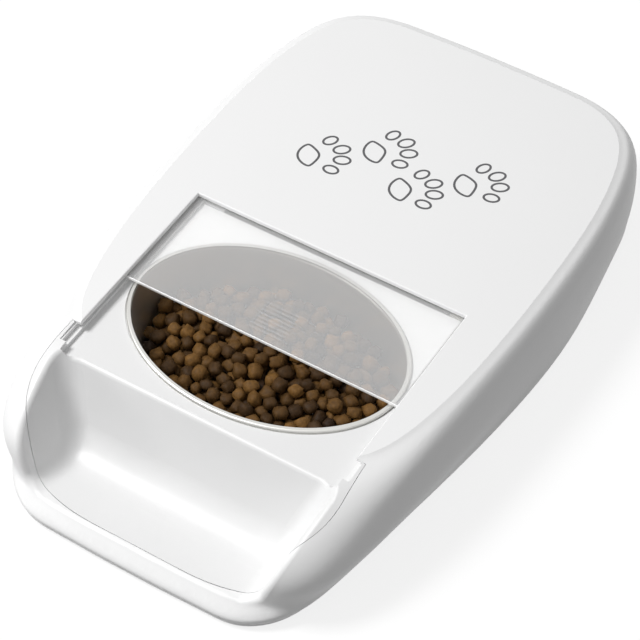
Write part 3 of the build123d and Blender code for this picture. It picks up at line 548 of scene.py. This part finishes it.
def studio_floor():
    """A dull grey floor that adds a white glow where it is looked at."""
    material, tree, output = empty_material("studio_floor")
    ground = add_node(tree, "BsdfDiffuse")
    ground.inputs["Color"].default_value = floor_tone
    glow = add_node(tree, "Emission")
    glow.inputs["Strength"].default_value = floor_glow
    glow.inputs["Color"].default_value = pure_white
    both = add_node(tree, "AddShader")
    tree.links.new(ground.outputs[0], both.inputs[0])
    tree.links.new(glow.outputs[0], both.inputs[1])
    choice = add_node(tree, "MixShader")
    tree.links.new(direct_view(tree), choice.inputs[0])
    tree.links.new(ground.outputs[0], choice.inputs[1])
    tree.links.new(both.outputs[0], choice.inputs[2])
    tree.links.new(choice.outputs[0], output.inputs["Surface"])
    return material


bpy.ops.object.select_all(action="DESELECT")
bpy.ops.mesh.primitive_plane_add(size=floor_side)
floor = bpy.context.object
floor.name = "floor"
floor.data.materials.append(studio_floor())
print("floor:", floor_side, "m across")

# %% The sky
sky_light = 0.36
sky_seen = 1.0


def pale_sky():
    """A world with one strength for the light it gives and one for how it looks."""
    sky = bpy.data.worlds.new("pale_sky")
    sky.use_nodes = True
    tree = sky.node_tree
    giving = tree.nodes["Background"]
    giving.inputs["Color"].default_value = pure_white
    giving.inputs["Strength"].default_value = sky_light
    seen = add_node(tree, "Background")
    seen.inputs["Color"].default_value = pure_white
    seen.inputs["Strength"].default_value = sky_seen
    choice = add_node(tree, "MixShader")
    tree.links.new(direct_view(tree), choice.inputs[0])
    tree.links.new(giving.outputs[0], choice.inputs[1])
    tree.links.new(seen.outputs[0], choice.inputs[2])
    tree.links.new(choice.outputs[0], tree.nodes["World Output"].inputs["Surface"])
    return sky


bpy.context.scene.world = pale_sky()
print("sky gives", sky_light, "and is seen at", sky_seen)

# %% [markdown]
# ## Paws on the roof
# The casing carries a small print: paw marks in thin dark lines, walking across
# the roof. A picture laid on the roof would blur close up. Lines cut from mesh
# stay sharp, and ink has next to no thickness, so they are very thin solids.
# Each pad is a disc that is stretched, turned and set in place, then inset by
# the width of the line and emptied. The heel pad's disc is first narrowed on
# one side and filled out on the other.

# %% Sizes of the print, in millimetres and degrees
roof_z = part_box("outer_casing")[1].z
ink_thick = 0.03 * MM
ink_line = 1.3 * MM
pad_points = 40
# Each toe: its place across and along the paw, its half width and half length, its lean.
toe_rows = (
    (-11.2, 5.2, 3.5, 4.9, 24),
    (-4.1, 11.4, 3.7, 5.3, 8),
    (4.1, 11.4, 3.7, 5.3, -8),
    (11.2, 5.2, 3.5, 4.9, -24),
)
heel_half = (8.4, 6.6)
heel_drop = -6.4
heel_taper = 0.34
heel_squaring = 0.20
heel_shift = 0.1
# Each paw: its place across and along the roof, and its turn.
paw_steps = ((-42.0, 62.0, -58.0), (-13.0, 84.0, -50.0), (14.0, 66.0, -58.0), (42.0, 88.0, -50.0))
print("roof at", round(roof_z, 4), "with", len(paw_steps), "paws to print")


# %% Print the paws
def edit_shape(ready):
    """Runs one step in edit mode on the active object."""
    bpy.ops.object.mode_set(mode="EDIT")
    ready()
    bpy.ops.object.mode_set(mode="OBJECT")


def shape_heel(pad):
    """Narrows a unit disc towards the toes and squares off its other side."""
    for point in pad.data.vertices:
        point.co.x *= 1.0 - heel_taper * point.co.y
        point.co.y += heel_squaring * point.co.x ** 2 * (1.0 - point.co.y) - heel_shift


def print_pad(half_x, half_y, middle, turn, heel=False):
    """The outline of one pad, flat on the roof."""
    bpy.ops.object.select_all(action="DESELECT")
    bpy.ops.mesh.primitive_circle_add(vertices=pad_points, radius=1.0, fill_type="NGON")
    pad = bpy.context.object
    if heel:
        shape_heel(pad)

    def draw():
        bpy.ops.transform.resize(value=(half_x * MM, half_y * MM, 1), center_override=(0, 0, 0))
        bpy.ops.transform.rotate(value=-math.radians(turn), orient_axis="Z", center_override=(0, 0, 0))
        bpy.ops.transform.translate(value=middle)
        bpy.ops.mesh.inset(thickness=ink_line)
        bpy.ops.mesh.delete(type="FACE")
        bpy.ops.mesh.select_all(action="SELECT")
        bpy.ops.mesh.extrude_region_move(TRANSFORM_OT_translate={"value": (0, 0, ink_thick)})
        bpy.ops.mesh.select_all(action="SELECT")
        bpy.ops.mesh.normals_make_consistent(inside=False)

    edit_shape(draw)
    return pad


def print_paw(x, y, turn):
    """One paw mark: four toes round a heel, turned about its middle."""
    swing = Matrix.Rotation(math.radians(turn), 3, "Z")
    pads = []
    for toe_x, toe_y, half_x, half_y, lean in toe_rows:
        middle = swing @ Vector((toe_x, toe_y, 0)) + Vector((x, y, 0))
        pads.append(print_pad(half_x, half_y, (*(middle.xy * MM), roof_z), turn + lean))
    middle = swing @ Vector((0, heel_drop, 0)) + Vector((x, y, 0))
    pads.append(print_pad(*heel_half, (*(middle.xy * MM), roof_z), turn, heel=True))
    return pads


pads = [pad for step in paw_steps for pad in print_paw(*step)]
print("pads:", len(pads))


# %% Join the pads and ink them
def join_pieces(pieces, name):
    """Joins pieces into the first of them, under a new name."""
    bpy.ops.object.select_all(action="DESELECT")
    for piece in pieces:
        piece.select_set(True)
    bpy.context.view_layer.objects.active = pieces[0]
    bpy.ops.object.join()
    joined = bpy.context.object
    joined.name = name
    return joined


roof_print = join_pieces(pads, "roof_print")
bpy.context.scene.cursor.location = (0, 0, 0)
bpy.ops.object.origin_set(type="ORIGIN_CURSOR")
roof_print.data.materials.clear()
print_ink = moulded_plastic("print_ink", (0.10, 0.10, 0.105), gloss=(0.4, 0.5), contrast=0.2)
roof_print.data.materials.append(print_ink)
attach(roof_print, "housing")
print("roof print faces:", len(roof_print.data.polygons))

# %% [markdown]
# ## Dry food
# The pellets are crumbly brown nuggets about 8 mm across, lumpy and blunt at the
# corners. One pellet copied all over would show as a pattern, and hundreds of
# different ones would take long to make. So six nuggets are modelled from a
# cube that is rounded, squashed and dented, and each pellet in the bowl is a
# copy of one of them, turned at random.

# %% Model six nuggets
nugget_count = 6
nugget_cube = 1.72
nugget_cuts = 2
nugget_roundness = 0.66
nugget_dent = 0.13
height_range = (0.76, 0.96)
width_range = (0.82, 1.0)
luck = random.Random(7)


def model_nugget(index):
    """A lumpy nugget with a radius of about 1."""
    bpy.ops.object.select_all(action="DESELECT")
    bpy.ops.mesh.primitive_cube_add(size=nugget_cube)
    nugget = bpy.context.object
    nugget.name = f"nugget_{index}"
    height = luck.uniform(*height_range)
    width = luck.uniform(*width_range)

    def press():
        bpy.ops.mesh.subdivide(number_cuts=nugget_cuts)
        bpy.ops.transform.tosphere(value=nugget_roundness)
        bpy.ops.transform.resize(value=(1.0, width, height))
        bpy.ops.transform.vertex_random(offset=nugget_dent, uniform=0.6, normal=0.5, seed=index + 1)

    edit_shape(press)
    return nugget


nuggets = [model_nugget(index) for index in range(nugget_count)]
print("nugget faces:", [len(nugget.data.polygons) for nugget in nuggets])

# %% [markdown]
# ## Heaping the food
# A rigid-body simulation of hundreds of pellets is slow. Here each pellet is a
# ball that is dropped at a random place and rolls downhill in shrinking steps.
# It rests on the bowl or on the balls below it. A ball that would rise above
# the food's level, which is higher in the middle than at the wall, is left out.

# %% Feel for the bowl and the balls below
food_level_wall = 30 * MM
food_level_middle = 37 * MM
bowl = solids["food_bowl"]
probe_height = 0.2
probe_ring = 8
ball_closeness = 0.93


def bowl_floor(x, y):
    """Height of the bowl's inside at a plan place, or None outside it."""
    hit, point = bowl.ray_cast(Vector((x, y, probe_height)), Vector((0, 0, -1)))[:2]
    return point.z if hit else None


def rest_height(x, y, radius, placed):
    """Lowest height for a ball's centre there, over the bowl and the balls already in it."""
    height = bowl_floor(x, y)
    if height is None:
        return None
    height += radius
    for step in range(probe_ring):
        turn = 2 * math.pi * step / probe_ring
        level = bowl_floor(x + radius * math.cos(turn), y + radius * math.sin(turn))
        if level is None:
            return None
        height = max(height, level)
    for px, py, pz, reach in placed:
        gap = (radius + reach) * ball_closeness
        apart = (x - px) ** 2 + (y - py) ** 2
        if apart < gap * gap:
            height = max(height, pz + math.sqrt(gap * gap - apart))
    return height


print("bowl floor in the middle:", round(bowl_floor(bowl_middle.x, bowl_middle.y), 4))

# %% Drop the pellets one by one
pellets_dropped = 900
nugget_radius = 3.9 * MM
radius_range = (0.86, 1.1)
drop_share = 0.86
first_stride = 3 * MM
roll_steps = 14
stride_loss = 0.85


def drop_place():
    """A random plan place over the bowl."""
    reach = math.sqrt(luck.random()) * drop_share
    bearing = luck.uniform(0, 2 * math.pi)
    x = bowl_middle.x + reach * bowl_half.x * math.cos(bearing)
    y = bowl_middle.y + reach * bowl_half.y * math.sin(bearing)
    return x, y


def roll_downhill(x, y, height, radius, placed):
    """Tries steps in random directions, and takes those that lead lower."""
    stride = first_stride
    for _ in range(roll_steps):
        push = luck.uniform(0, 2 * math.pi)
        new_x = x + stride * math.cos(push)
        new_y = y + stride * math.sin(push)
        new_height = rest_height(new_x, new_y, radius, placed)
        if new_height is not None and new_height < height:
            x, y, height = new_x, new_y, new_height
        else:
            stride *= stride_loss
    return x, y, height


def food_level(x, y):
    """How high a pellet's centre may lie at a plan place."""
    outward = ((x - bowl_middle.x) / bowl_half.x) ** 2 + ((y - bowl_middle.y) / bowl_half.y) ** 2
    return food_level_middle + (food_level_wall - food_level_middle) * outward


def drop_pellets(count):
    """Balls of slightly different size, each rolled downhill."""
    placed = []
    for _ in range(count):
        radius = nugget_radius * luck.uniform(*radius_range)
        x, y = drop_place()
        height = rest_height(x, y, radius, placed)
        if height is None:
            continue
        x, y, height = roll_downhill(x, y, height, radius, placed)
        if height < food_level(x, y):
            placed.append((x, y, height, radius))
    return placed


pellet_places = drop_pellets(pellets_dropped)
print("pellets:", len(pellet_places), "of", pellets_dropped, "dropped")

# %% Join the pellets into one heap
tilt_spread = 0.6


def place_pellet(x, y, z, radius):
    """A copy of one nugget, turned at random, with a tone of its own."""
    source = nuggets[luck.randrange(nugget_count)]
    pellet = source.copy()
    pellet.data = source.data.copy()
    bpy.context.scene.collection.objects.link(pellet)
    spin = Matrix.Rotation(luck.uniform(0, 2 * math.pi), 4, "Z")
    tilt = Matrix.Rotation(luck.gauss(0, tilt_spread), 4, "X")
    pellet.data.transform(Matrix.Translation((x, y, z)) @ (spin @ tilt) @ Matrix.Scale(radius, 4))
    tint = pellet.data.attributes.new("tint", "FLOAT", "POINT")
    tone = luck.random()
    tint.data.foreach_set("value", [tone] * len(pellet.data.vertices))
    return pellet


food = join_pieces([place_pellet(*place) for place in pellet_places], "dry_food")
bpy.ops.object.shade_smooth()
for nugget in nuggets:
    bpy.data.objects.remove(nugget)
print("food faces:", len(food.data.polygons))

# %% [markdown]
# ## Baked crumb
# Each pellet has a tone between dark and light brown. One material for each tone
# would be many, so the tone is kept as an attribute on the pellet's points and
# one material reads it. A fine noise gives the crust its own mottle and its relief.
# The same noise paints shade into the pits and paints light onto the crumbs, and
# the crust is nearly without shine.

# %% Finish the food
crumb_size = 480.0
crumb_depth = 0.5 * MM
dull_specular = 0.2
dark_crust = (0.020, 0.009, 0.003)
light_crust = (0.185, 0.095, 0.026)
# The crust's own mottle, and painted shade in the pits and painted light on the crumbs.
pit_tone_and_painted_shade = (0.15, 0.14, 0.13)
crumb_tone_and_painted_light = (1.75, 1.70, 1.60)


def baked_crumb():
    """A dull brown crust whose tone differs from pellet to pellet."""
    material, tree, shader = principled_material("baked_crumb")
    shader.inputs["Specular IOR Level"].default_value = dull_specular
    own = add_node(tree, "Attribute", attribute_name="tint")
    place = add_node(tree, "TexCoord")
    crumb = add_node(tree, "TexNoise")
    crumb.inputs["Scale"].default_value = crumb_size
    crumb.inputs["Detail"].default_value = 5.0
    crumb.inputs["Roughness"].default_value = 0.65
    tree.links.new(place.outputs["Object"], crumb.inputs["Vector"])
    crust = two_tones(tree, own.outputs["Fac"], dark_crust, light_crust)
    # Multiplies the crust by the crumb noise: its own mottle, with painted shade in the pits and painted
    # light on the crumbs.
    shade = add_node(tree, "Mix", data_type="RGBA", blend_type="MULTIPLY")
    shade.inputs["Factor"].default_value = 1.0
    tree.links.new(crust, shade.inputs["A"])
    tree.links.new(two_tones(tree, crumb.outputs["Fac"], pit_tone_and_painted_shade, crumb_tone_and_painted_light), shade.inputs["B"])
    tree.links.new(shade.outputs["Result"], shader.inputs["Base Color"])
    tree.links.new(spread(tree, crumb.outputs["Fac"], 0.45, 0.75), shader.inputs["Roughness"])
    raise_bump(tree, shader, crumb.outputs["Fac"], crumb_depth)
    return material


food.data.materials.clear()
food.data.materials.append(baked_crumb())
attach(food, "housing")
print("food finish:", food.data.materials[0].name)
